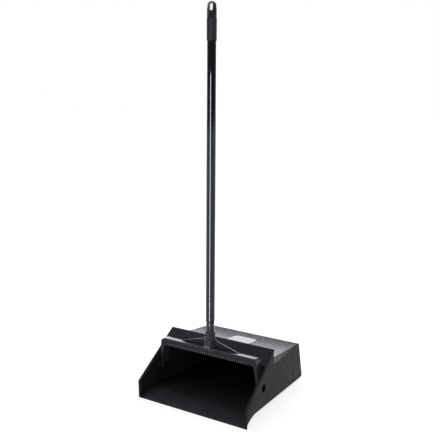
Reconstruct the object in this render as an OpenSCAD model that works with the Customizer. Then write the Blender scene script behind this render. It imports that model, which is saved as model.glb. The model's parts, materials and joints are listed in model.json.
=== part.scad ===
// Lobby dustpan: an open-fronted hopper pan hung in a yoke with a long upright handle.
// Millimetres. X runs across the pan, Y from the lip to the back, Z up from the floor.
// The origin is on the floor, in the middle of the pan.

/* [Pan outline] */
// Length of the pan from the lip to its rear bottom edge
pan_l = 336; // [300:1:380]
// Width over the two ends of the lip
pan_w = 320; // [280:1:360]
// Height of the upright part of the front edges
front_h = 45; // [35:1:60]
// Distance of the fence's top edge behind the lip
fence_y = 140; // [130:1:155]
// Height of the fence's top edge
fence_h = 147.5; // [144:0.5:155]
// Height of the mouth's upper edge, where the fence starts
mouth_h = 118; // [112:1:122]
// Height of the roof at the foot of the fence
roof_front_h = 125; // [120:1:132]
// Height of the roof at the back
roof_rear_h = 108; // [95:1:118]
// How far the rear wall leans forward at its top
rear_lean = 29; // [10:1:45]
// Angle that each side wall draws in towards the back
side_taper = 3.15; // [1:0.05:4]
// Angle that each side wall leans outward
side_flare = 1.15; // [0:0.05:2]

/* [Pan walls] */
// Thickness of the moulded walls
wall = 3; // [2:0.1:4]
// Thickness of the lip at its very edge
lip_t = 1.2; // [0.8:0.1:2]
// Distance of the floor's crest behind the lip
crest_y = 52; // [40:1:65]
// Height of the floor's underside at the crest
crest_h = 17.5; // [12:0.5:22]
// Height of the floor's underside at the back
rear_gap = 4; // [2:0.5:8]
// Width of the rim that stands out from the side walls' front edges
rim_out = 3.5; // [2:0.5:5]
// Thickness of the rim from front to back
rim_t = 3.5; // [2.5:0.5:5]
// Length of the heel bar that the back of the pan stands on
heel_l = 10; // [6:1:16]
// Distance of the heel bar's ends from the side walls
heel_in = 8; // [4:1:20]

/* [Pivots] */
// Distance of the pivots behind the lip
pivot_y = 93; // [90:0.5:96]
// Height of the pivots
pivot_h = 64.5; // [62:0.5:68]
// Diameter of the pivot pins
pin_d = 8; // [6:0.5:9]
// Diameter of the pins' heads
pin_head_d = 12.5; // [11:0.5:15]
// Height of the pins' domed heads
pin_head_t = 3.2; // [1.5:0.1:3.6]
// Diameter of the round pocket that each head sits in
pocket_d = 19; // [17:0.5:22]
// Thickness of the pocket's floor
pocket_floor = 2; // [1.5:0.1:2.6]
// Diameter of the round pad inside the wall at each pivot
pad_d = 26; // [24:1:28]
// How far that pad stands in from the wall
pad_t = 1.8; // [1.2:0.1:2.5]
// Outer diameter of the push-on clips
clip_d = 13; // [12:0.5:14]
// Thickness of the clips
clip_t = 1.6; // [1:0.1:2.5]

// How far the pivots lie behind the handle's axis
pivot_back = 4.2; // [3:0.1:5.5]
// Gap between each arm and its stop on the pan when the handle stands upright
stop_gap = 0.1; // [0.05:0.05:0.3]

/* [Yoke] */
// Height of the yoke's top face above the pivots
yoke_h = 77; // [74:0.5:80]
// Height of the crossbar's front face
bar_h = 19; // [16:0.5:24]
// How far the yoke's front face lies ahead of the handle's axis at the top
yoke_front = 17; // [15:0.5:19]
// How far its back face lies behind the handle's axis at the top
yoke_back = 5.5; // [3:0.5:8]
// How far the crossbar's top drops from front to back
bar_drop = 2.5; // [0:0.5:4]
// How far the arms reach ahead of that axis at their lower ends
arm_front = 11; // [9:0.5:13]
// How far the arms reach behind that axis at their lower ends
arm_back = 16.5; // [14.5:0.5:18]
// How far the arms reach below the pivots
arm_below = 7.5; // [7.5:0.5:9]
// How far each arm splays outward from the crossbar to the pivot
arm_splay = 5.3; // [2:0.1:8]
// Width of the arms' flanges under the crossbar
flange_w = 9; // [7:0.5:12]
// Width of the arms' flanges at their lower ends
flange_low_w = 3.5; // [3:0.5:6]
// Thickness of the yoke's walls
yoke_wall = 2.6; // [2:0.1:3.2]
// Radius of the yoke's outer corners
corner_r = 14; // [8:1:20]
// Radius of the crossbar's rear top edge
bar_back_r = 3; // [2.8:0.2:4]
// Depth of the pivot hub on each arm
hub_l = 4.5; // [4:0.5:6]
// Diameter of the pivot hubs
hub_d = 14; // [12.5:0.5:14]

/* [Comb] */
// Length of the row of comb teeth
comb_l = 226; // [150:1:240]
// Distance from tooth to tooth
comb_pitch = 6.25; // [5:0.05:9]
// Width of each gap between teeth
comb_gap = 3; // [2:0.1:4]
// Height of the teeth
comb_h = 9; // [5:0.5:12]

/* [Socket] */
// Width of the block under the collar
block_w = 21; // [20:0.5:24]
// How far the block reaches ahead of the handle's axis
block_front = 14; // [12:0.5:15]
// How far the block reaches behind it
block_back = 12; // [10:0.5:14]
// Height of the boss where the block meets the crossbar's front face
boss_h = 7; // [4:0.5:9]
// How far that boss stands out from the front face
boss_out = 0.8; // [0.4:0.1:2]
// Height of that block above the crossbar
block_h = 20.5; // [16:0.5:26]
// Outer diameter of the collar
collar_d = 25; // [24:0.5:28]
// Height of the collar
collar_h = 19; // [14:0.5:26]
// Reach of each gusset from the handle's axis
gusset_reach = 88; // [60:1:110]
// Length of the flat step beside the block at each gusset's top
gusset_step = 9; // [4:0.5:14]
// Thickness of the gussets
gusset_t = 3; // [2:0.1:4]
// Distance of the gussets ahead of the handle's axis
gusset_y = 0.5; // [0:0.1:9]
// How far each gusset's slope starts below its flat step
gusset_drop = 3; // [0:0.5:5]

/* [Handle] */
// Outer diameter of the tube
tube_d = 22.2; // [21.5:0.1:23]
// Wall thickness of the tube
tube_t = 1.2; // [0.8:0.1:1.5]
// Height of the handle's top above the pivots
handle_h = 909; // [700:0.5:1100]
// Angle that the handle leans back
lean = 0.8; // [0:0.1:2]
// Outer diameter of the tube's drawn-in neck
neck_d = 20; // [18.5:0.1:20.2]
// Length of the neck above the collar
neck_l = 22; // [10:1:40]
// Length of the taper from neck to tube
taper_l = 6; // [4:0.5:15]
// Depth of the neck inside the collar
neck_in = 10; // [6:0.5:13]
// Length of the threaded tip inside the neck
tip_in = 24; // [15:1:30]
// Length of the threaded tip below the neck
tip_out = 26; // [16:1:27]

/* [Grip and hang cap] */
// Outer diameter of the grip sleeve
grip_d = 24; // [23.6:0.1:27]
// Length of the grip sleeve
grip_l = 50; // [30:1:150]
// Height of the bead round the sleeve's top
bead_h = 4; // [3:0.5:6]
// How far the bead stands out
bead_out = 0.5; // [0.3:0.1:1]
// Outer diameter of the hang cap's skirt
cap_d = 23.4; // [23.2:0.1:26]
// Height of the hang cap
cap_l = 39; // [36:0.5:50]
// Height of the cap's dome
dome_h = 10; // [6:0.5:12]
// Diameter of the cap below its dome
dome_d = 21.4; // [18:0.1:22.5]
// Width of the hang slot
slot_w = 7.2; // [5:0.1:9]
// Length of the hang slot
slot_l = 18.5; // [12:0.5:20]
// Distance from the slot's upper end to the cap's top
slot_top = 4; // [3:0.5:6]
// Depth of the tube inside the cap
tube_in = 11; // [6:0.5:13]
// Length of the cap's spigot inside the tube
spigot_l = 26; // [15:1:40]
// Angle that the slot is turned about the handle
slot_turn = 23.5; // [-90:0.5:90]

/* [Clearances] */
// Radial clearance of the arms' bores on the pins
pin_run = 0.06; // [0.02:0.01:0.1]
// Radial clearance between pieces that are fixed together
snug = 0.05; // [0.02:0.01:0.1]
// Gap at the faces that turn against each other
face_gap = 0.3; // [0.2:0.05:0.5]

/* [Hidden] */
$fn = 64;
reach = 3 * pan_w;             // longer than any cut needs to be
pan_black = "#26282b";
yoke_black = "#2b2d30";
tube_black = "#141516";
grip_black = "#1f2022";
pin_grey = "#3a3c3f";

// Side walls: a point's outer wall lies at this distance from the middle.
taper_slope = tan(side_taper) / cos(side_flare);
flare_slope = tan(side_flare);
wall_x0 = pan_w / 2 - rim_out;
function wall_x(y, z) = wall_x0 - taper_slope * y + flare_slope * z;

// The slanted front runs from the top of the upright edges to the fence's top.
slant = [fence_y, fence_h - front_h] / norm([fence_y, fence_h - front_h]);
inward = [slant.y, -slant.x];
function on_slant(z) = [(z - front_h) * slant.x / slant.y, z];
fence_land = 3;                // width of the fence's flat top
fence_back = [fence_y + fence_land, fence_h];
fence_foot = [fence_y + fence_land + 4.5, roof_front_h];
roof_back = [pan_l - rear_lean, roof_rear_h];
rear_r = 5;                    // radius at the foot of the rear wall
rear_up = unit([-rear_lean, roof_rear_h - rear_gap]);
rear_ahead = unit([crest_y - pan_l, crest_h - rear_gap]);
rear_arc = unit(rear_up + rear_ahead) * rear_r / sin(acos(rear_up * rear_ahead) / 2);
rear_low = [pan_l - rear_r - rear_arc.x, rear_gap];

// Floor: the underside climbs from the lip to the crest and falls away to the back.
ramp_steps = 12;
lip_foot = 1.5;                // width of the lip's flat underside
function ramp_z(y) = crest_h * (1 - pow(1 - (y - lip_foot) / (crest_y - lip_foot), 2));
function ramp_t(y) = lip_t + (wall - lip_t) * min(1, y / (crest_y / 2));
ramp_ys = [for (i = [0:ramp_steps]) lip_foot + (crest_y - lip_foot) * i / ramp_steps];

// Pivot stack, from the pocket in the wall to the clip inside the arm
pad_x = wall_x(pivot_y, pivot_h) - wall - pad_t;
seat_x = pad_x + pocket_floor;
hub_x = pad_x - face_gap;
clip_x = hub_x - hub_l - face_gap;
pin_end_x = clip_x - clip_t - 1.5;

// Yoke outline at the crossbar and at the arms' lower ends, across the pan
arm_x = hub_x - 0.5;
bar_x = arm_x - arm_splay;
splay = arm_splay / yoke_h;
low_x = arm_x + arm_below * splay;
bar_z = yoke_h - bar_h;

// Handle heights above the pivots
collar_z = yoke_h + block_h;
collar_top = collar_z + collar_h;
neck_z = collar_top - neck_in;
neck_bore = neck_d / 2 - tube_t;
tube_bore = tube_d / 2 - tube_t;
cap_z = handle_h - cap_l;
grip_z = cap_z - grip_l;
tube_top = cap_z + tube_in;

// The arms' back faces, from their lower ends to the crossbar's top
back_h = yoke_h - bar_drop;
function back_y(z) = arm_back + (yoke_back - arm_back) * (z + arm_below) / (back_h + arm_below);
function front_y(z) = -arm_front + (arm_front - yoke_front) * (z + arm_below) / (yoke_h + arm_below);

function unit(v) = v / norm(v);

// Points of one corner of an outline, rounded with radius r
function corner(a, b, c, r, steps = 5) = r == 0 ? [b] :
    let (u = unit(a - b), v = unit(c - b), half = acos(u * v) / 2,
         o = b + unit(u + v) * r / sin(half),
         from = b + u * r / tan(half) - o, to = b + v * r / tan(half) - o,
         a0 = atan2(from.y, from.x), turn = (atan2(to.y, to.x) - a0 + 540) % 360 - 180)
    [for (i = [0:steps]) o + r * [cos(a0 + turn * i / steps), sin(a0 + turn * i / steps)]];

// A whole outline with one radius for each corner
function rounded(pts, radii) = let (n = len(pts))
    [for (i = [0:n - 1]) each corner(pts[(i + n - 1) % n], pts[i], pts[(i + 1) % n], radii[i])];

// The corner b of an outline moved inward by t, for an outline that runs clockwise
function inset(a, b, c, t) =
    let (p = unit(b - a), q = unit(c - b), m = [p.y, -p.x], k = [q.y, -q.x])
    b + (m + k) * t / (1 + m * k);

// Extrudes an outline drawn as [Y, Z] across the pan
module across(w = reach) {
    rotate([90, 0, 90]) linear_extrude(w, center = true) children();
}

// Extrudes an outline drawn as [X, Z] along Y, from y0 to y1
module along(y0, y1) {
    translate([0, y1, 0]) rotate([90, 0, 0]) linear_extrude(y1 - y0) children();
}

// Everything outside the side walls, moved in by t
module outside(t) {
    for (s = [0, 1]) mirror([s, 0, 0])
        translate([wall_x0 - t, 0, 0]) rotate([0, side_flare, 0]) rotate([0, 0, side_taper])
            translate([0, -reach / 2, -reach / 2]) cube(reach);
}

// Everything between the side walls that an outline sweeps, moved in by t
module between(t) {
    difference() {
        across() children();
        outside(t);
    }
}

module pan_outline() {
    front_r = 3;
    roof_r = 5;
    polygon(concat(
        rounded([[0, 0], [0, front_h], [fence_y, fence_h], fence_back, fence_foot, roof_back, rear_low],
                [0, front_r, 1.2, 1.2, 2, roof_r, rear_r]),
        [for (i = [ramp_steps:-1:0]) [ramp_ys[i], ramp_z(ramp_ys[i])]]));
}

module hollow_outline() {
    top = [fence_y, fence_h];
    low = on_slant(mouth_h);
    high_r = 2;
    roof_r = 3;
    inner = [inset([0, front_h], top, fence_back, wall), inset(top, fence_back, fence_foot, wall),
             inset(fence_back, fence_foot, roof_back, wall),
             inset(fence_foot, roof_back, rear_low, wall),
             inset(roof_back, rear_low, [crest_y, crest_h], wall)];
    ahead = 20;
    polygon(concat(
        [[-ahead, lip_t]],
        [[-ahead, mouth_h]], [low - inward * ahead], [low + inward * wall],
        rounded(concat([low], inner, [[crest_y, crest_h + wall]]), [0, 0, high_r, roof_r, roof_r, 8, 0]),
        [for (i = [ramp_steps - 1:-1:0]) [ramp_ys[i], ramp_z(ramp_ys[i]) + ramp_t(ramp_ys[i])]]));
}

// The band along the front edges that the rim follows
module rim_outline() {
    rim_foot = inset([0, 0], [0, front_h], [fence_y, fence_h], rim_t);
    polygon([[0, 0], [0, front_h], [fence_y, fence_h], fence_back,
             [fence_y, fence_h] + inward * rim_t + slant * 2,
             rim_foot, [rim_t, ramp_z(rim_t)]]);
}

module heel_outline() {
    slope = (crest_h - rear_gap) / (pan_l - crest_y);
    back = pan_l - 5;
    polygon([[back - heel_l - 3, rear_gap + slope * (heel_l + 8) + wall / 2], [back - heel_l, 0],
             [back, 0], [back + 2.5, rear_gap + wall / 2]]);
}

module pivot_pads() {
    for (s = [0, 1]) mirror([s, 0, 0]) translate([pad_x, pivot_y, pivot_h])
        rotate([0, 90, 0]) cylinder(d = pad_d, h = pad_t + wall / 2);
}

// A stop inside each side wall, which the arm's back face leans on when the handle is upright
module stops() {
    low = 16;
    high = 34;
    thick = 4;
    x0 = bar_x + arm_splay * (1 - low / yoke_h) - 3;
    for (s = [0, 1]) mirror([s, 0, 0]) in_rest()
        translate([(x0 + wall_x0) / 2, 0, 0]) across(wall_x0 - x0)
            polygon([[back_y(low) + stop_gap, low], [back_y(high) + stop_gap, high],
                     [back_y(high) + stop_gap + thick / 2, high], [back_y(low) + stop_gap + thick, low + thick],
                     [back_y(low) + stop_gap + thick, low]]);
}

module pivot_holes() {
    for (s = [0, 1]) mirror([s, 0, 0]) translate([0, pivot_y, pivot_h]) rotate([0, 90, 0]) {
        translate([0, 0, pad_x - 1]) cylinder(r = pin_d / 2 + snug, h = wall + pad_t + 2);
        translate([0, 0, seat_x]) cylinder(d = pocket_d, h = reach);
    }
}

module on_floor() {
    translate([0, -pan_l / 2, 0]) children();
}

module shell() {
    difference() {
        union() {
            between(0) pan_outline();
            difference() {
                between(-rim_out) rim_outline();
                between(wall) rim_outline();
            }
            between(heel_in) heel_outline();
        }
        between(wall) hollow_outline();
    }
}

module pan_body() {
    color(pan_black) on_floor() difference() {
        union() {
            shell();
            difference() {
                union() {
                    pivot_pads();
                    stops();
                }
                outside(wall / 2);
            }
        }
        pivot_holes();
    }
}

// Puts a piece in its place that is drawn about an upright handle, with the pivots' height as zero
module in_rest() {
    translate([0, pivot_y, pivot_h]) rotate([-lean, 0, 0]) translate([0, -pivot_back, 0]) children();
}

module in_yoke() {
    on_floor() in_rest() children();
}

// Outer edge of the yoke seen from the front
module arch_outline(t = 0) {
    polygon(rounded([[-low_x + t, -arm_below - t], [-bar_x + t, yoke_h - t],
                     [bar_x - t, yoke_h - t], [low_x - t, -arm_below - t]],
                    [0, corner_r - t, corner_r - t, 0]));
}

// The opening under the crossbar and between the arms
module arch_opening() {
    inner_r = 6;
    polygon(rounded([[-low_x + flange_low_w, -arm_below - 1], [-bar_x + flange_w, bar_z],
                     [bar_x - flange_w, bar_z], [low_x - flange_low_w, -arm_below - 1]],
                    [0, inner_r, inner_r, 0]));
}

// Outline of the yoke seen from the side, moved in by t
module yoke_side(t = 0) {
    front_r = 2.5;
    polygon(rounded([[-arm_front + t, -arm_below], [-yoke_front + t, yoke_h],
                     [yoke_back - t, back_h], [arm_back - t, -arm_below]],
                    [1.5, front_r, bar_back_r, 1.5]));
}

module yoke_shell() {
    intersection() {
        along(-reach, reach) difference() {
            arch_outline();
            arch_opening();
        }
        across() yoke_side();
    }
}

// The channel's hollow, open to the inside of the arch
module yoke_hollow() {
    intersection() {
        along(-reach, reach) arch_outline(yoke_wall);
        across() yoke_side(yoke_wall);
        translate([-reach / 2, -reach / 2, yoke_wall - arm_below]) cube([reach, reach, yoke_h]);
    }
}

module arm_ends() {
    end_w = 4.5;
    intersection() {
        for (s = [0, 1]) mirror([s, 0, 0])
            translate([low_x - end_w, -reach / 2, -arm_below]) cube([end_w, reach, yoke_wall]);
        along(-reach, reach) arch_outline();
        across() yoke_side();
    }
}

module hubs() {
    for (s = [0, 1]) mirror([s, 0, 0]) translate([hub_x - hub_l, pivot_back, 0])
        rotate([0, 90, 0]) cylinder(d = hub_d, h = hub_l);
}

module comb_gaps() {
    gaps = floor(comb_l / comb_pitch);
    first = -comb_pitch * (gaps - 1) / 2;
    for (i = [0:gaps - 1]) translate([first + i * comb_pitch, 0, bar_z]) {
        translate([-comb_gap / 2, -yoke_front - 1, -1]) cube([comb_gap, yoke_wall + 4, comb_h - comb_gap / 2 + 1]);
        translate([0, -yoke_front - 1, comb_h - comb_gap / 2])
            rotate([-90, 0, 0]) cylinder(d = comb_gap, h = yoke_wall + 4, $fn = 16);
    }
}

module gussets() {
    gusset_foot = yoke_h - bar_drop * (yoke_front - gusset_y) / (yoke_front + yoke_back);
    step_x = block_w / 2 + gusset_step;
    along(-gusset_y - gusset_t / 2, -gusset_y + gusset_t / 2) for (s = [0, 1]) mirror([s, 0])
        polygon([[0, gusset_foot - 2], [0, collar_z], [step_x, collar_z], [step_x, collar_z - gusset_drop],
                 [gusset_reach, gusset_foot], [gusset_reach, gusset_foot - 2]]);
}

module socket() {
    block_r = 3;
    half = block_w / 2;
    foot_z = yoke_h - bar_h / 2;
    translate([0, 0, foot_z]) linear_extrude(collar_z - foot_z)
        polygon(rounded([[-half, -block_front], [-half, block_back], [half, block_back], [half, -block_front]],
                        [block_r, block_r, block_r, block_r]));
    translate([0, 0, collar_z]) cylinder(d = collar_d, h = collar_h - 1);
    translate([0, 0, collar_top - 1]) cylinder(d1 = collar_d, d2 = collar_d - 2, h = 1);
}

// The boss in front of the block, which runs down over the crossbar's front face
module boss() {
    fillet = 4;
    foot_z = yoke_h - boss_h;
    across(block_w - 2) polygon([[1 - block_front, yoke_h + fillet], [-block_front, yoke_h + fillet],
                                 [front_y(yoke_h) - boss_out, yoke_h],
                                 [front_y(foot_z + 1) - boss_out, foot_z + 1], [front_y(foot_z) + 1, foot_z],
                                 [1 - block_front, foot_z]]);
}

module socket_bore() {
    translate([0, 0, neck_z]) cylinder(r = neck_d / 2 + snug, h = neck_in + 1);
    translate([0, 0, neck_z - tip_out - 1]) cylinder(r = neck_bore + snug, h = tip_out + 2);
}

module yoke() {
    color(yoke_black) in_yoke() difference() {
        union() {
            difference() {
                yoke_shell();
                yoke_hollow();
                comb_gaps();
            }
            arm_ends();
            hubs();
            gussets();
            socket();
            boss();
        }
        socket_bore();
        translate([0, pivot_back, 0])
            rotate([0, 90, 0]) cylinder(r = pin_d / 2 + pin_run, h = reach, center = true);
    }
}

// A pin lies along X from its domed head to its round end, on the side s of the pan
module pivot_pin(s) {
    round_r = 1.2;
    neck_r = pin_d / 2;
    head_r = pin_head_d / 2;
    color(pin_grey) on_floor() mirror([s < 0 ? 1 : 0, 0, 0]) translate([0, pivot_y, pivot_h])
        rotate([0, 90, 0]) rotate_extrude()
            polygon(concat([[0, pin_end_x], [neck_r - round_r, pin_end_x], [neck_r, pin_end_x + round_r],
                            [neck_r, seat_x], [head_r, seat_x], [head_r, seat_x + pin_head_t / 3]],
                           [for (a = [15:15:90]) [head_r * cos(a), seat_x + pin_head_t * (1 + 2 * sin(a)) / 3]]));
}

module pivot_pin_left() {
    pivot_pin(-1);
}

module pivot_pin_right() {
    pivot_pin(1);
}

// A push-on clip: a ring with a raised crown that grips the pin
module pin_clip(s) {
    crown = 0.7;
    color(pin_grey) on_floor() mirror([s < 0 ? 1 : 0, 0, 0]) translate([clip_x, pivot_y, pivot_h])
        rotate([0, -90, 0]) difference() {
            union() {
                cylinder(d = clip_d, h = clip_t - crown);
                cylinder(d1 = clip_d - 1, d2 = pin_d + 3, h = clip_t);
            }
            translate([0, 0, -1]) cylinder(r = pin_d / 2 + snug, h = clip_t + 2);
        }
}

module pin_clip_left() {
    pin_clip(-1);
}

module pin_clip_right() {
    pin_clip(1);
}

module threaded_tip() {
    chamfer = 2;
    color(grip_black) in_yoke() translate([0, 0, neck_z - tip_out]) {
        cylinder(r1 = neck_bore - chamfer, r2 = neck_bore, h = chamfer);
        translate([0, 0, chamfer]) cylinder(r = neck_bore, h = tip_out + tip_in - chamfer);
    }
}

module handle_tube() {
    neck_top = collar_top + neck_l;
    color(tube_black) in_yoke() rotate_extrude()
        polygon([[neck_bore + snug, neck_z], [neck_d / 2, neck_z], [neck_d / 2, neck_top],
                 [tube_d / 2, neck_top + taper_l], [tube_d / 2, tube_top], [tube_bore, tube_top],
                 [tube_bore, neck_top + taper_l], [neck_bore + snug, neck_top]]);
}

module grip_sleeve() {
    bore = tube_d / 2 + snug;
    rim = 1;
    color(grip_black) in_yoke() rotate_extrude()
        polygon([[bore, grip_z], [grip_d / 2 - rim / 2, grip_z], [grip_d / 2, grip_z + rim],
                 [grip_d / 2, cap_z - bead_h], [grip_d / 2 + bead_out, cap_z - bead_h + rim],
                 [grip_d / 2 + bead_out, cap_z - rim - 1], [grip_d / 2 - 1, cap_z - 1],
                 [grip_d / 2 - 1, cap_z], [bore, cap_z]]);
}

module hang_cap() {
    dome_z = handle_h - dome_h;
    cone_l = 10;
    slot_z = handle_h - slot_top - slot_l;
    color(grip_black) in_yoke() difference() {
        rotate_extrude() polygon(concat(
            [[0, cap_z + tube_in - spigot_l], [tube_bore - snug - 1, cap_z + tube_in - spigot_l],
             [tube_bore - snug, cap_z + tube_in - spigot_l + 2], [tube_bore - snug, tube_top],
             [tube_d / 2 + snug, tube_top], [tube_d / 2 + snug, cap_z], [cap_d / 2, cap_z],
             [cap_d / 2, dome_z - cone_l]],
            [for (a = [0:10:90]) [dome_d / 2 * cos(a), dome_z + dome_h * sin(a)]]));
        rotate([0, 0, slot_turn]) translate([0, 0, slot_z]) {
            translate([-slot_w / 2, -cap_d, slot_w / 2]) cube([slot_w, 2 * cap_d, slot_l - slot_w]);
            for (z = [slot_w / 2, slot_l - slot_w / 2]) translate([0, 0, z])
                rotate([90, 0, 0]) cylinder(d = slot_w, h = 2 * cap_d, center = true);
        }
    }
}

pan_body();
pivot_pin_left();
pivot_pin_right();
pin_clip_left();
pin_clip_right();
yoke();
threaded_tip();
handle_tube();
grip_sleeve();
hang_cap();
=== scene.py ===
# %% [markdown]
# # A lobby dustpan, dressed for the camera
# The CAD model brings the true shapes and sizes. This script adds what CAD leaves out: softened
# edges, moulded grain, the coat of the tube, a blank label, light and a camera.

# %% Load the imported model
import bpy
import bmesh
import json
import math
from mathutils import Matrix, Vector


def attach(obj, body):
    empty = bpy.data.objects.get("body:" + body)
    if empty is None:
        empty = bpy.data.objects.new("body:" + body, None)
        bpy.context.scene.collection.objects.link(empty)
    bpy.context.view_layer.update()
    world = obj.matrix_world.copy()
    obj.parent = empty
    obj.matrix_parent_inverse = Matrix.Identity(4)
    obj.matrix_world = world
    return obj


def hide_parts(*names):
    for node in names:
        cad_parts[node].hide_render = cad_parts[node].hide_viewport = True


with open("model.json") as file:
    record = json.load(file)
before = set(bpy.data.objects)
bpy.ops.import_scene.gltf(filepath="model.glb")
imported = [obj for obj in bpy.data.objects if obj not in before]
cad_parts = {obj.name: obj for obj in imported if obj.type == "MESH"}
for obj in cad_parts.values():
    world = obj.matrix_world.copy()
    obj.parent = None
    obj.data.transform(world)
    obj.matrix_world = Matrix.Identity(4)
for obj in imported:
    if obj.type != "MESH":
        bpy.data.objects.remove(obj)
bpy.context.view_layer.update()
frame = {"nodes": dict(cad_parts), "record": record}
nodes = frame["nodes"]
MM = 0.001
print("nodes:", ", ".join(sorted(nodes)))

# %% [markdown]
# ## Camera
# The photograph was taken from the front right with a normal lens, a little above the pan. The
# camera turns about a point beside the handle, so its place follows from two angles and a
# distance. The lip's place in the model, LIP_Y, is the zero of all depths in this script.

# %% Camera
AZIMUTH = math.radians(32.55)
PITCH = math.radians(10.18)
DISTANCE = 1.520
AIM_HEIGHT = 0.4764
AIM_SHIFT = 0.0732
FOCAL_PX, PHOTO_PX = 659, 440
SENSOR_MM = 36
LIP_Y = -0.168


def new_object(name, data):
    made = bpy.data.objects.new(name, data)
    bpy.context.scene.collection.objects.link(made)
    return made


toward_camera = Vector((math.sin(AZIMUTH) * math.cos(PITCH), -math.cos(AZIMUTH) * math.cos(PITCH),
                        math.sin(PITCH)))
to_the_right = Vector((math.cos(AZIMUTH), math.sin(AZIMUTH), 0))
aim = Vector((0, LIP_Y, AIM_HEIGHT)) + to_the_right * AIM_SHIFT
camera_data = bpy.data.cameras.new("studio_camera")
camera_data.sensor_width = SENSOR_MM
camera_data.lens = FOCAL_PX / PHOTO_PX * SENSOR_MM
camera = new_object("studio_camera", camera_data)
camera.location = aim + toward_camera * DISTANCE
camera.rotation_euler = (-toward_camera).to_track_quat("-Z", "Y").to_euler()
bpy.context.scene.camera = camera
print("camera at", [round(c, 3) for c in camera.location])

# %% [markdown]
# ## Shader maths
# Every finish below is a small network of nodes. Writing `noise * 0.2 + 0.5` is easier to read
# than wiring Math nodes by hand, so one class wraps a socket and gives it the usual operators.

# %% A socket that can be added and multiplied
class Value:
    def __init__(self, tree, socket):
        self.tree = tree
        self.socket = socket

    def math(self, operation, *others):
        made = self.tree.nodes.new("ShaderNodeMath")
        made.operation = operation
        for place, value in enumerate((self, *others)):
            connect(self.tree, made.inputs[place], value)
        return Value(self.tree, made.outputs[0])

    def __add__(self, other):
        return self.math("ADD", other)

    __radd__ = __add__

    def __mul__(self, other):
        return self.math("MULTIPLY", other)

    __rmul__ = __mul__

    def __sub__(self, other):
        return self.math("SUBTRACT", other)

    def __rsub__(self, other):
        return self.math("MULTIPLY_ADD", -1.0, other)

    def __abs__(self):
        return self.math("ABSOLUTE")

    def between(self, low, high):
        """0 below low, 1 above high, and smooth on the way."""
        made = self.tree.nodes.new("ShaderNodeMapRange")
        made.interpolation_type = "SMOOTHSTEP"
        connect(self.tree, made.inputs[0], self)
        made.inputs[1].default_value, made.inputs[2].default_value = low, high
        return Value(self.tree, made.outputs[0])


def connect(tree, socket, value):
    if isinstance(value, Value):
        tree.links.new(value.socket, socket)
    else:
        socket.default_value = value


# %% [markdown]
# A network holds the nodes of one finish or of the studio's surroundings. One method makes any
# node from its type, its settings and its sockets, so the finishes below stay short.

# %% A network of nodes
class Network:
    def __init__(self, owner):
        owner.use_nodes = True
        self.tree = owner.node_tree
        self.tree.nodes.clear()

    def node(self, kind, settings=None, output=0, **sockets):
        """Any other node: its settings first, then the values or links of its sockets."""
        made = self.tree.nodes.new("ShaderNode" + kind)
        for key, value in (settings or {}).items():
            setattr(made, key, value)
        for key, value in sockets.items():
            connect(self.tree, made.inputs[key.replace("_", " ")], value)
        return Value(self.tree, made.outputs[output])

    def mix(self, factor, a, b):
        """From colour a to colour b. A Mix node holds its colour sockets at 6, 7 and output 2."""
        made = self.tree.nodes.new("ShaderNodeMix")
        made.data_type = "RGBA"
        connect(self.tree, made.inputs[0], factor)
        connect(self.tree, made.inputs[6], a)
        connect(self.tree, made.inputs[7], b)
        return Value(self.tree, made.outputs[2])

    def split(self, vector):
        made = self.tree.nodes.new("ShaderNodeSeparateXYZ")
        self.tree.links.new(vector.socket, made.inputs[0])
        return [Value(self.tree, made.outputs[i]) for i in range(3)]


# %% [markdown]
# A finish is one Principled shader and the nodes that feed it. Its constants go straight onto the
# sockets. Patterns read Object coordinates, so they stay on a piece when it moves.

# %% A finish
class Finish(Network):
    def __init__(self, name, **constants):
        self.material = bpy.data.materials.new(name)
        super().__init__(self.material)
        self.shader = self.tree.nodes.new("ShaderNodeBsdfPrincipled")
        out = self.tree.nodes.new("ShaderNodeOutputMaterial")
        self.tree.links.new(self.shader.outputs[0], out.inputs[0])
        for socket, value in constants.items():
            self.shader.inputs[socket.replace("_", " ")].default_value = value

    def set(self, **sockets):
        for key, value in sockets.items():
            connect(self.tree, self.shader.inputs[key.replace("_", " ")], value)

    def place(self):
        """Object coordinates, the fourth output of Texture Coordinate."""
        return self.node("TexCoord", output=3)

    def noise(self, where, scale, detail=3.0, roughness=0.55):
        return self.node("TexNoise", Vector=where, Scale=scale, Detail=detail, Roughness=roughness)

    def stretched(self, where, x, y, z):
        return self.node("Mapping", {"vector_type": "POINT"}, Vector=where, Scale=(x, y, z))

    def bump(self, height, depth_mm, strength=1.0):
        bumped = self.node("Bump", Height=height, Distance=depth_mm * MM, Strength=strength)
        self.set(Normal=bumped)


# %% Bluish blacks, as the photograph shows them
def grey(v):
    return (v * 0.95, v * 0.98, v * 1.12, 1)


BLUISH = (0.86, 0.91, 1.0, 1)
print("the pan's black:", [round(c, 4) for c in grey(0.006)[:3]])

# %% [markdown]
# ## Places on the pan and the yoke
# A finish often belongs to one place: the lip, the roof, the comb or the collar. These places are
# named here in metres. Depths count from the lip towards the rear, heights from the floor and
# widths from the middle, and the comb's face is a place on the model's own y axis. A pair is a
# stretch over which something fades in or out.

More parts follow.
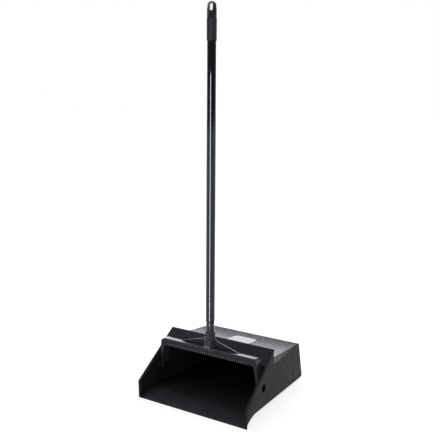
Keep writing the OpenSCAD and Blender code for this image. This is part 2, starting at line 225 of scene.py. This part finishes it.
# %% Places on the pan and the yoke
ROOF_START, ROOF_END = 0.1475, 0.307
ROOF_TOP, ROOF_LOW = 0.125, 0.108
ROOF_SKIN = (ROOF_LOW - 0.002, ROOF_LOW - 0.0005)
ROOF_EDGE = (ROOF_START, ROOF_START + 0.0015)
ROOF_DULLS = (0.17, 0.29)
ROOF_SHEEN_FADES = (0.155, 0.30)
LIP_WEAR_DEPTH, LIP_WEAR_HEIGHT = 0.016, 0.012
COMB_FOOT, COMB_HEAD = (0.119, 0.121), (0.1285, 0.1315)
COMB_END, COMB_FACE = (0.112, 0.115), (-0.094, -0.092)
COLLAR_SIDE, COLLAR_FOOT = (0.0135, 0.0145), (0.133, 0.135)
TUBE_RUBS_FADE = (0.2, 0.5)
print("roof", round((ROOF_END - ROOF_START) * 1000), "mm deep")

# %% [markdown]
# ## The pan's plastic
# The pan is black polypropylene. Its outside is grained by the mould so that scuffs don't show,
# and the lip wears dull and a little grey where it rubs on floors. Several noises make the
# grain: fine ones for the stipple, a mottled one for pits that catch the light, and a broad one
# for the uneven gloss. The roof has a sheen of its own, which is strongest beside the fence and
# fades towards the rear, with flecks in it.

# %% Grained black pan
def pan_finish():
    f = Finish("grained_pan", IOR=1.5, Specular_IOR_Level=0.07, Specular_Tint=BLUISH,
               Coat_Roughness=0.38)
    where = f.place()
    x, y, z = f.split(where)
    depth = y - LIP_Y
    stipple = f.noise(where, 900, detail=2)
    pebble = f.node("TexVoronoi", {"feature": "SMOOTH_F1"}, Vector=where, Scale=430, Smoothness=0.5)
    mottle = f.noise(where, 62, detail=9, roughness=0.88)
    broad = f.noise(where, 22, detail=4)
    streaks = f.noise(f.stretched(where, 260, 14, 60), 1.0, detail=3)
    near_lip = 1 - depth.between(0.0, LIP_WEAR_DEPTH)
    near_floor = 1 - z.between(0.0, LIP_WEAR_HEIGHT)
    wear = near_lip * near_floor * (streaks * 1.4).between(0.45, 0.85)
    scratch = f.noise(f.stretched(where, 30, 420, 30), 1.0, detail=1).between(0.66, 0.7) * 0.35
    roof = z.between(*ROOF_SKIN) * depth.between(*ROOF_EDGE)
    rear = roof * depth.between(*ROOF_DULLS)
    flecks = f.noise(f.stretched(where, 420, 130, 420), 1.0, detail=2, roughness=0.7)
    flecks = roof * flecks.between(0.35, 0.65)
    black = f.mix(broad.between(0.3, 0.7), grey(0.006), grey(0.009))
    f.set(Base_Color=f.mix(wear * 0.5, black, grey(0.03)))
    f.set(Roughness=0.03 + broad * 0.08 + mottle * 0.7 + stipple * 0.06 + scratch * 0.1 + wear * 0.1
          + rear * 0.14 + flecks * 0.3 - roof * 0.2)
    f.set(Coat_Weight=roof * (1 - depth.between(*ROOF_SHEEN_FADES)) * (0.75 - flecks * 0.5))
    f.bump(stipple * 0.3 + pebble * 0.4 + mottle * 4.0, 0.5, 0.8)
    return f.material


# %% [markdown]
# ## The yoke's plastic
# The yoke is moulded in the same black, but its mould was polished, so its top catches the light.
# Faint flow lines and a little uneven gloss keep it from looking like glass. The comb under its front
# strips fluff from a broom; its teeth are painted a lighter grey, a painted highlight for the light they
# catch, and the bristles have dulled their gloss. The collar that the handle screws into, and the block
# under it, are painted a lighter grey too: painted light, for the light they catch.

# %% Smooth black yoke
def yoke_finish():
    f = Finish("smooth_yoke", IOR=1.5, Specular_IOR_Level=0.17, Specular_Tint=BLUISH)
    where = f.place()
    x, y, z = f.split(where)
    broad = f.noise(where, 30, detail=3)
    flow = f.noise(f.stretched(where, 8, 60, 60), 1.0, detail=2)
    fine = f.noise(where, 1400, detail=2)
    patchy = f.noise(f.stretched(where, 500, 300, 120), 1.0, detail=3)
    aside = abs(x)
    # Painted highlight: the comb's teeth get a lighter grey for the light they catch; their higher
    # roughness is wear.
    teeth_highlight_and_wear = (1 - z.between(*COMB_HEAD)) * z.between(*COMB_FOOT) * (1 - aside.between(*COMB_END))
    teeth_highlight_and_wear = teeth_highlight_and_wear * (1 - y.between(*COMB_FACE)) * (patchy * 0.6 + 0.5)
    # Painted light: the collar and the block under it get a lighter grey for the light they catch.
    collar_painted_light = (1 - aside.between(*COLLAR_SIDE)) * z.between(*COLLAR_FOOT) * (patchy * 0.8 + 0.5)
    black = f.mix(broad.between(0.3, 0.7), grey(0.011), grey(0.015))
    black = f.mix(collar_painted_light, black, grey(0.035))
    # Painted highlight: the lighter grey of the comb's teeth.
    f.set(Base_Color=f.mix(teeth_highlight_and_wear, black, grey(0.088)))
    f.set(Roughness=0.14 + broad * 0.08 + fine * 0.05 + teeth_highlight_and_wear * 0.2)
    f.bump(flow * 0.7 + fine * 0.3, 0.05, 0.5)
    return f.material


# %% [markdown]
# ## The tube's coat
# The handle is a thin steel tube with a glossy black coat. Such a coat shows a slight orange peel
# and, lower down, fine rubs that run along the tube.

# %% Glossy black tube
def tube_finish():
    f = Finish("coated_tube", IOR=1.5, Specular_IOR_Level=0.40, Specular_Tint=BLUISH)
    where = f.place()
    x, y, z = f.split(where)
    peel = f.noise(where, 110, detail=1)
    rubs = f.noise(f.stretched(where, 900, 900, 18), 1.0, detail=2).between(0.6, 0.72)
    low = 1 - z.between(*TUBE_RUBS_FADE)
    f.set(Base_Color=f.mix(rubs * low * 0.3, grey(0.0015), grey(0.006)))
    f.set(Roughness=0.06 + rubs * low * 0.04 + peel * 0.03)
    f.bump(peel, 0.008, 0.5)
    return f.material


# %% [markdown]
# ## Grip, cap, pins and clips
# The sleeve is soft and nearly matt, with a fine sanded skin. The cap and the threaded tip are satin
# plastic. The pins are duller and nearly black, darker than the pan and with almost no reflection: painted
# shade, for the shadow in the deep pivot pockets. The clips are blackened spring steel. One function makes
# the plastics, since only their tone and gloss differ.

# %% Soft sleeve
def grip_finish():
    f = Finish("soft_grip", IOR=1.47, Specular_IOR_Level=0.35, Specular_Tint=BLUISH)
    where = f.place()
    skin = f.noise(where, 1600, detail=2)
    broad = f.noise(where, 60, detail=3)
    f.set(Base_Color=f.mix(broad, grey(0.006), grey(0.010)))
    f.set(Roughness=0.4 + skin * 0.12 + broad * 0.08)
    f.bump(skin, 0.05, 0.6)
    return f.material


# %% Satin plastic of the cap, the tip and the pins
def satin_finish(name, dark, light, gloss, mirror=0.3):
    f = Finish(name, IOR=1.5, Specular_IOR_Level=mirror, Specular_Tint=BLUISH)
    where = f.place()
    skin = f.noise(where, 900, detail=2)
    broad = f.noise(where, 80, detail=3)
    f.set(Base_Color=f.mix(broad, grey(dark), grey(light)))
    f.set(Roughness=gloss + skin * 0.08 + broad * 0.06)
    f.bump(skin, 0.03, 0.5)
    return f.material


# %% Spring steel of the clips
def clip_finish():
    f = Finish("black_spring_steel", IOR=1.5)
    where = f.place()
    brushed = f.noise(f.stretched(where, 300, 2400, 2400), 1.0, detail=2)
    f.set(Base_Color=f.mix(brushed, grey(0.012), grey(0.02)), Roughness=0.34 + brushed * 0.12)
    f.bump(brushed, 0.02, 0.4)
    return f.material


# %% [markdown]
# The label is a coated paper sticker, pale grey, with a faint cloudy wear.

# %% Paper of the label
PAPER = (0.32, 0.323, 0.326, 1)
WORN_PAPER = (0.26, 0.264, 0.268, 1)


def label_finish():
    f = Finish("blank_label", IOR=1.5, Specular_IOR_Level=0.2)
    where = f.place()
    fibre = f.noise(where, 700, detail=3)
    cloud = f.noise(where, 25, detail=3)
    f.set(Base_Color=f.mix(cloud * 0.5, PAPER, WORN_PAPER))
    f.set(Roughness=0.32 + fibre * 0.1)
    f.bump(fibre + cloud * 2, 0.03, 0.5)
    return f.material


# %% [markdown]
# The sides of the slots between the comb's teeth get a near-black, matt finish that reflects almost
# nothing: painted shade, for the shadow in the slots. The pivot pockets get the same painted shade. Both
# get this finish.

# %% Painted shade for slots and pockets
def painted_shade_finish():
    f = Finish("painted_shade_slots", IOR=1.5, Specular_IOR_Level=0.02)
    where = f.place()
    skin = f.noise(where, 1500, detail=2)
    # Painted shade: a near-black base colour and almost no reflection, for the shadow in slots and pockets.
    f.set(Base_Color=f.mix(skin, grey(0.001), grey(0.002)), Roughness=0.7 + skin * 0.2)
    f.bump(skin, 0.03, 0.5)
    return f.material


# %% [markdown]
# Each finish is made once and kept under a short name, for the pieces that follow.

# %% All finishes
finishes = {
    "pan": pan_finish(),
    "yoke": yoke_finish(),
    "tube": tube_finish(),
    "grip": grip_finish(),
    "cap": satin_finish("satin_cap", dark=0.010, light=0.016, gloss=0.30),
    "tip": satin_finish("satin_tip", dark=0.012, light=0.018, gloss=0.36),
    # Painted shade: the pins' near-black tone and missing reflection stand for the shadow in the pivot
    # pockets.
    "pin": satin_finish("black_pin_painted_shade", dark=0.001, light=0.002, gloss=0.55, mirror=0.0),
    "clip": clip_finish(),
    "label": label_finish(),
    "painted_shade": painted_shade_finish()}
print("finishes:", len(finishes))

# %% [markdown]
# ## Softened edges
# A CAD solid has knife edges, and a real moulding never does: each edge shows a thin line of
# light. So every part is copied, its loose triangles are merged, and the edges that turn sharply
# are rounded by a bevel. The shortest edges, which belong to rounded corners, stay as they are,
# and so does the thin lip, where a bevel would fold over. Curved walls keep their smooth shading.

# %% A copy with rounded edges
SHARP = math.radians(28)
NEARLY_FLAT = math.radians(0.6)
MERGE_DISTANCE = 0.002 * MM
SHORTEST_EDGE = 0.6 * MM
THIN_LIP = 4 * MM


def softened(node, name, finish, radius_mm, segments=2, angle=SHARP):
    mesh = nodes[node].data.copy()
    bm = bmesh.new()
    bm.from_mesh(mesh)
    bmesh.ops.remove_doubles(bm, verts=bm.verts, dist=MERGE_DISTANCE)
    bmesh.ops.dissolve_limit(bm, angle_limit=NEARLY_FLAT, verts=bm.verts, edges=bm.edges)

    def turns(edge):
        return len(edge.link_faces) == 2 and edge.calc_face_angle(0) > angle

    def rounded(edge):
        thin = all(v.co.y < LIP_Y + THIN_LIP and v.co.z < THIN_LIP for v in edge.verts)
        return turns(edge) and edge.calc_length() > SHORTEST_EDGE and not thin

    if radius_mm:
        bmesh.ops.bevel(bm, geom=[e for e in bm.edges if rounded(e)],
                        offset=radius_mm * MM, segments=segments, profile=0.5, affect="EDGES",
                        clamp_overlap=False, material=-1)
    for face in bm.faces:
        face.smooth = True
    for edge in bm.edges:
        edge.smooth = not turns(edge)
    bm.to_mesh(mesh)
    bm.free()
    mesh.name = name
    mesh.materials.clear()
    mesh.materials.append(finish)
    piece = new_object(name, mesh)
    shade = piece.modifiers.new("even_shading", "WEIGHTED_NORMAL")
    shade.keep_sharp = True
    return piece


# %% [markdown]
# ## The ten pieces
# Each dressed copy takes the place of its CAD node and rides on the same body; its finish becomes its only
# material. The handle's tube needs a smaller angle than the rest: its neck has a shallow shoulder, and
# smooth shading across it would bend the long highlight.

# %% Dressing one node
bodies = frame["record"]["behaviour"]["bodies"]
body_of_node = {member: body for body, members in bodies.items() for member in members}


def dress(node, name, finish, radius_mm, segments=2, angle=SHARP):
    piece = softened(node, name, finish, radius_mm, segments, angle)
    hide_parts(node)
    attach(piece, body_of_node[node])
    print(name, "faces", len(piece.data.polygons))
    return piece


# %% The dressed pieces
SIDES = ("left", "right")
SHOULDER = math.radians(9)
pan = dress("pan_body", "moulded_pan", finishes["pan"], radius_mm=0.55)
yoke = dress("yoke", "moulded_yoke", finishes["yoke"], radius_mm=0.45)
tube = dress("handle_tube", "coated_handle", finishes["tube"], radius_mm=0, angle=SHOULDER)
sleeve = dress("grip_sleeve", "soft_sleeve", finishes["grip"], radius_mm=0.2)
cap = dress("hang_cap", "moulded_cap", finishes["cap"], radius_mm=0.5, segments=3)
tip = dress("threaded_tip", "moulded_tip", finishes["tip"], radius_mm=0)
pins = [dress("pivot_pin_" + side, "turned_pin_" + side, finishes["pin"], radius_mm=0.5, segments=3)
        for side in SIDES]
clips = [dress("pin_clip_" + side, "spring_clip_" + side, finishes["clip"], radius_mm=0.1, segments=1)
         for side in SIDES]

# %% [markdown]
# The walls of the round pivot pockets and the sides of the comb's slots get the painted shade finish, as a
# second material of the pan and of the yoke. Their faces are found by where they lie.

# %% Faces with painted shade
PIVOT_Y, PIVOT_Z, POCKET = -0.075, 0.0645, 0.0103
WALLS_FROM = 0.13
COMB_REACH, COMB_TOP, COMB_REAR = 0.114, 0.131, -0.080
SLOT_SIDE_AREA = 80 * MM * MM
FACES_SIDEWAYS = 0.9


def give_painted_shade(piece, faces):
    piece.data.materials.append(finishes["painted_shade"])
    for face in faces:
        face.material_index = 1
    print(piece.name, "matt faces", len(faces))


def in_pocket(face):
    corners = [pan.data.vertices[i].co for i in face.vertices]
    in_wall = all(abs(c.x) > WALLS_FROM for c in corners)
    return in_wall and all(math.hypot(c.y - PIVOT_Y, c.z - PIVOT_Z) < POCKET for c in corners)


def in_slot(face):
    c = face.center
    in_comb = abs(c.x) < COMB_REACH and c.y < COMB_REAR and c.z < COMB_TOP
    return in_comb and abs(face.normal.x) > FACES_SIDEWAYS and face.area < SLOT_SIDE_AREA


give_painted_shade(pan, [f for f in pan.data.polygons if in_pocket(f)])
give_painted_shade(yoke, [f for f in yoke.data.polygons if in_slot(f)])

# %% [markdown]
# ## Blank label
# A pale sticker with rounded corners lies on the roof behind the handle. It is left blank. It
# starts as one flat face along the roof; a bevel of its corners and a solidify make the sticker.

# %% Label on the roof
LABEL_LEFT, LABEL_RIGHT = -0.024, 0.043
LABEL_NEAR, LABEL_FAR = 0.202, 0.258
LABEL_CORNER = 13 * MM
LABEL_THICKNESS = 0.12 * MM


def roof_point(x, depth):
    share = (depth - ROOF_START) / (ROOF_END - ROOF_START)
    return Vector((x, depth + LIP_Y, ROOF_TOP + (ROOF_LOW - ROOF_TOP) * share))


def label(name):
    bm = bmesh.new()
    near = [roof_point(x, LABEL_NEAR) for x in (LABEL_LEFT, LABEL_RIGHT)]
    far = [roof_point(x, LABEL_FAR) for x in (LABEL_RIGHT, LABEL_LEFT)]
    bm.faces.new([bm.verts.new(point) for point in near + far])
    bmesh.ops.bevel(bm, geom=bm.verts[:], offset=LABEL_CORNER, segments=6, profile=0.5,
                    affect="VERTICES", material=-1)
    bmesh.ops.solidify(bm, geom=bm.faces[:], thickness=-LABEL_THICKNESS)
    bmesh.ops.recalc_face_normals(bm, faces=bm.faces[:])
    mesh = bpy.data.meshes.new(name)
    bm.to_mesh(mesh)
    bm.free()
    mesh.materials.append(finishes["label"])
    piece = new_object(name, mesh)
    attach(piece, "pan")
    return piece


label("blank_label")
print("label", round((LABEL_RIGHT - LABEL_LEFT) * 1000), "by", round((LABEL_FAR - LABEL_NEAR) * 1000), "mm")

# %% [markdown]
# ## Studio
# The photograph shows the dustpan on pure white, with dark surroundings in front of it: the tube
# is nearly black between its highlights, and the roof mirrors a bright wall behind. So the floor
# glows a little, as a light table does, and the surroundings are bright behind and dim in front.

# %% Floor
FLOOR_REACH = 30
PALE, WHITE = (0.3, 0.3, 0.3, 1), (1, 1, 1, 1)


def studio_floor():
    bm = bmesh.new()
    bmesh.ops.create_grid(bm, x_segments=1, y_segments=1, size=FLOOR_REACH)
    mesh = bpy.data.meshes.new("studio_floor")
    bm.to_mesh(mesh)
    bm.free()
    floor = new_object("studio_floor", mesh)
    f = Finish("light_table", Roughness=0.9)
    f.set(Base_Color=PALE, Emission_Color=WHITE, Emission_Strength=0.78)
    mesh.materials.append(f.material)


studio_floor()
print("floor reaches", FLOOR_REACH, "m each way")

# %% [markdown]
# The surroundings are a world shader. Its texture coordinate is the direction of the ray, so the
# brightness can follow how far a ray points behind the dustpan. Rays from the camera itself see
# plain white from every side.

# %% Surroundings
BEHIND = Vector((-0.54, 0.84, 0)).normalized()
FRONT_GLOW, SIDE_GLOW, BACK_GLOW, TOP_GLOW = 0.14, 0.30, 3.0, 0.45
SIDE_FADES, BACK_FADES, TOP_FADES = (-0.8, 0.3), (0.55, 0.9), (0.18, 0.5)
BACK_ENDS_ABOVE = (0.45, 0.8)
DAYLIGHT = (0.96, 0.98, 1.03, 1)


def surroundings():
    world = bpy.data.worlds.new("studio_world")
    bpy.context.scene.world = world
    net = Network(world)
    x, y, z = net.split(net.node("TexCoord", output=0))
    back = x * BEHIND.x + y * BEHIND.y
    glow = back.between(*SIDE_FADES) * SIDE_GLOW + FRONT_GLOW
    glow = glow + back.between(*BACK_FADES) * (1 - z.between(*BACK_ENDS_ABOVE)) * BACK_GLOW
    glow = glow + z.between(*TOP_FADES) * TOP_GLOW
    seen = net.node("LightPath", output=0)
    strength = glow + seen * (1 - glow)
    light = net.node("Background", Color=net.mix(seen, DAYLIGHT, WHITE), Strength=strength)
    out = net.tree.nodes.new("ShaderNodeOutputWorld")
    net.tree.links.new(light.socket, out.inputs[0])
    print("surroundings nodes:", len(net.tree.nodes))


surroundings()

# %% [markdown]
# Some lamps are added: a soft box overhead, boxes at the front left and at the right for the
# faces that look forwards and sideways, one that draws the thin edges, and two narrow upright
# strips in front whose image runs down the glossy tube and the sleeve. The handle stands over
# the pivots, so both strips aim at the pivots' place. All lamps but the first light only the
# pieces they are meant for, and some are shaded only by the pieces named for them, as flagged
# lamps are in a studio.

# %% A soft box that can be flagged
def group(name, pieces):
    made = bpy.data.collections.new(name)
    for piece in pieces:
        made.objects.link(piece)
    return made


def soft_box(name, place, aim_at, width, height, watts, lights=None, shaded_by=None):
    data = bpy.data.lights.new(name, "AREA")
    data.shape = "RECTANGLE"
    data.size, data.size_y = width, height
    data.energy = watts
    box = new_object(name, data)
    box.location = Vector(place)
    box.rotation_euler = (Vector(aim_at) - box.location).to_track_quat("-Z", "Y").to_euler()
    box.visible_camera = False
    if lights:
        box.light_linking.receiver_collection = group(name + "_lights", lights)
    if shaded_by:
        box.light_linking.blocker_collection = group(name + "_shades", shaded_by)
    print(name, watts, "W")


# %% Lamps
FRONT_LEFT = (-0.9, -1.5, 0.35)
MOUTH = (0, -0.1, 0.08)
STRIP_X, STRIP_Y = 0.137, -0.675
small_pieces = [tip, cap] + pins + clips
soft_box("overhead", place=(-0.3, 0.5, 2.2), aim_at=(0, 0, 0.1), width=1.8, height=1.4, watts=7)
soft_box("front_left", place=FRONT_LEFT, aim_at=MOUTH, width=1.0, height=0.8, watts=19,
         lights=[pan], shaded_by=[pan, tube])
soft_box("yoke_front", place=FRONT_LEFT, aim_at=MOUTH, width=1.0, height=0.8, watts=9,
         lights=[yoke], shaded_by=[pan, tube])
soft_box("yoke_side", place=(1.2, 0.6, 0.5), aim_at=(0, -0.1, 0.14), width=1.2, height=0.8, watts=8,
         lights=[yoke, tip], shaded_by=[tube])
soft_box("right_fill", place=(2.0, -1.5, 0.35), aim_at=(0, 0, 0.08), width=1.0, height=0.6, watts=17,
         lights=[pan], shaded_by=[pan])
soft_box("edge_light", place=(-1.15, -0.75, 1.75), aim_at=(0, -0.05, 0.1), width=0.7, height=0.7,
         watts=10, lights=[pan, yoke] + small_pieces)
soft_box("strip", place=(STRIP_X, STRIP_Y, 0.30), aim_at=(0, PIVOT_Y, 0.30), width=0.11, height=1.1,
         watts=15, lights=[tube], shaded_by=[pan, yoke, tube])
soft_box("grip_strip", place=(STRIP_X, STRIP_Y, 0.8), aim_at=(0, PIVOT_Y, 0.8), width=0.2, height=0.7,
         watts=2, lights=[sleeve])
bpy.context.scene.view_settings.view_transform = "Standard"
